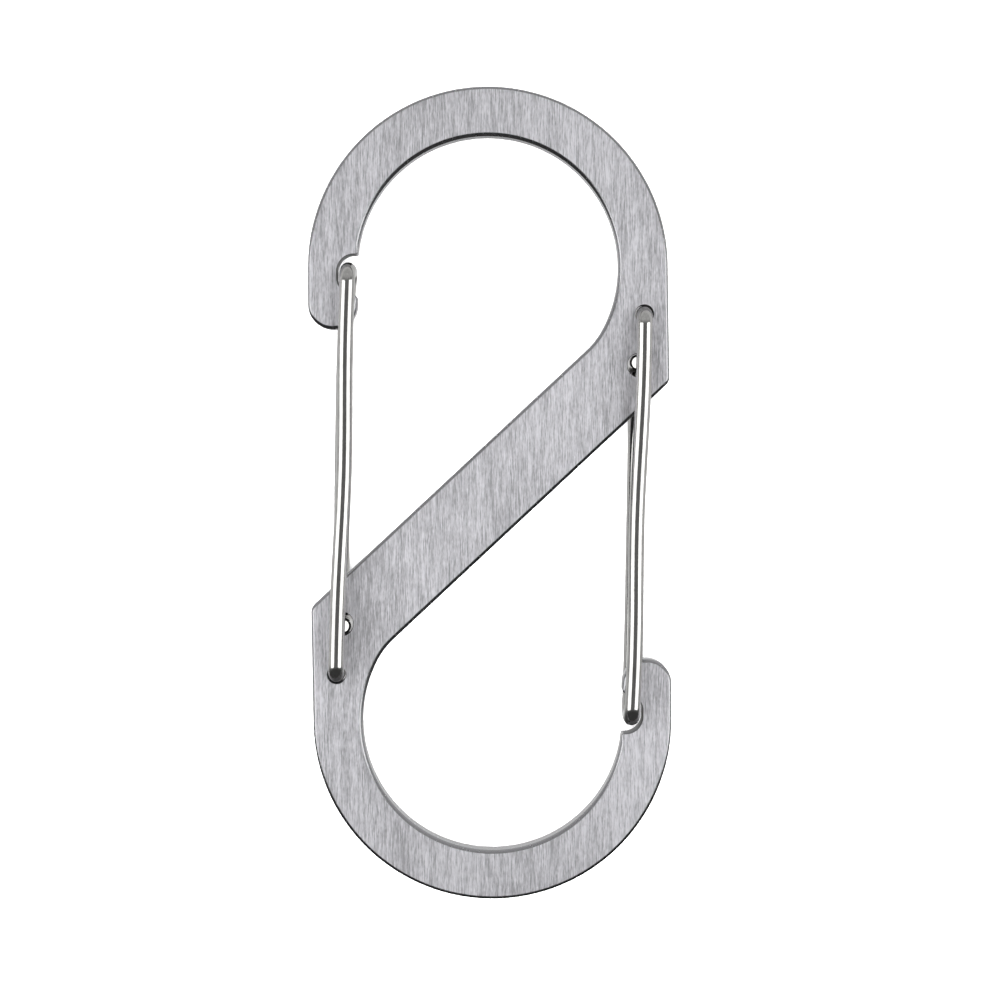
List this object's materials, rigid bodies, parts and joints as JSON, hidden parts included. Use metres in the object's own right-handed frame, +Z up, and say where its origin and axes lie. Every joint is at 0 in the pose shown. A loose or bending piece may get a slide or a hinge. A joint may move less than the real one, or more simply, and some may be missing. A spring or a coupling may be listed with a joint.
{
  "type": "double-ended snap hook clip",
  "caption": "Flat S-shaped steel clip with a hook ring at each end and a sprung bent-wire gate closing each hook, for hanging or joining light gear.",
  "frame": {"origin": "the middle of the clip's outline, at the lowest line of the two back gate legs that it lies on", "axes": "+Y along the length towards the upper hook, +X from the upper hook's gate side to its spine side, +Z up through the plate's thickness towards the long front gate legs"},
  "size_m": [0.0402, 0.0896, 0.0067],
  "materials": {
    "brushed_plate": "fine straight brush lines along the length",
    "polished_wire": "bright polished stainless spring wire"
  },
  "bodies": {
    "plate": {"plate": "brushed_plate"},
    "left_gate_front": {"left_gate_front_leg": "polished_wire"},
    "left_gate_back": {"left_gate_back_leg": "polished_wire"},
    "right_gate_front": {"right_gate_front_leg": "polished_wire"},
    "right_gate_back": {"right_gate_back_leg": "polished_wire"}
  },
  "joints": [
    {"name": "left_gate_swing", "type": "hinge", "parent": "plate", "child": "left_gate_front", "pos_m": [-0.01695, -0.01985, 0.00335], "axis": [0, 0, -1], "range_deg": [0, 28], "stiffness_Nm_per_rad": 0.12, "springref_deg": -14.32},
    {"name": "left_gate_flex", "type": "hinge", "parent": "left_gate_front", "child": "left_gate_back", "pos_m": [-0.01558, 0.02465, 0.00335], "axis": [0, 0, -1], "range_deg": [0, 4]},
    {"name": "right_gate_swing", "type": "hinge", "parent": "plate", "child": "right_gate_front", "pos_m": [0.01695, 0.01985, 0.00335], "axis": [0, 0, -1], "range_deg": [0, 28], "stiffness_Nm_per_rad": 0.12, "springref_deg": -14.32},
    {"name": "right_gate_flex", "type": "hinge", "parent": "right_gate_front", "child": "right_gate_back", "pos_m": [0.01558, -0.02465, 0.00335], "axis": [0, 0, -1], "range_deg": [0, 4]}
  ],
  "couplings": [
    {"joint": "left_gate_flex", "follows": "left_gate_swing", "ratio": 0.143},
    {"joint": "right_gate_flex", "follows": "right_gate_swing", "ratio": 0.143}
  ]
}
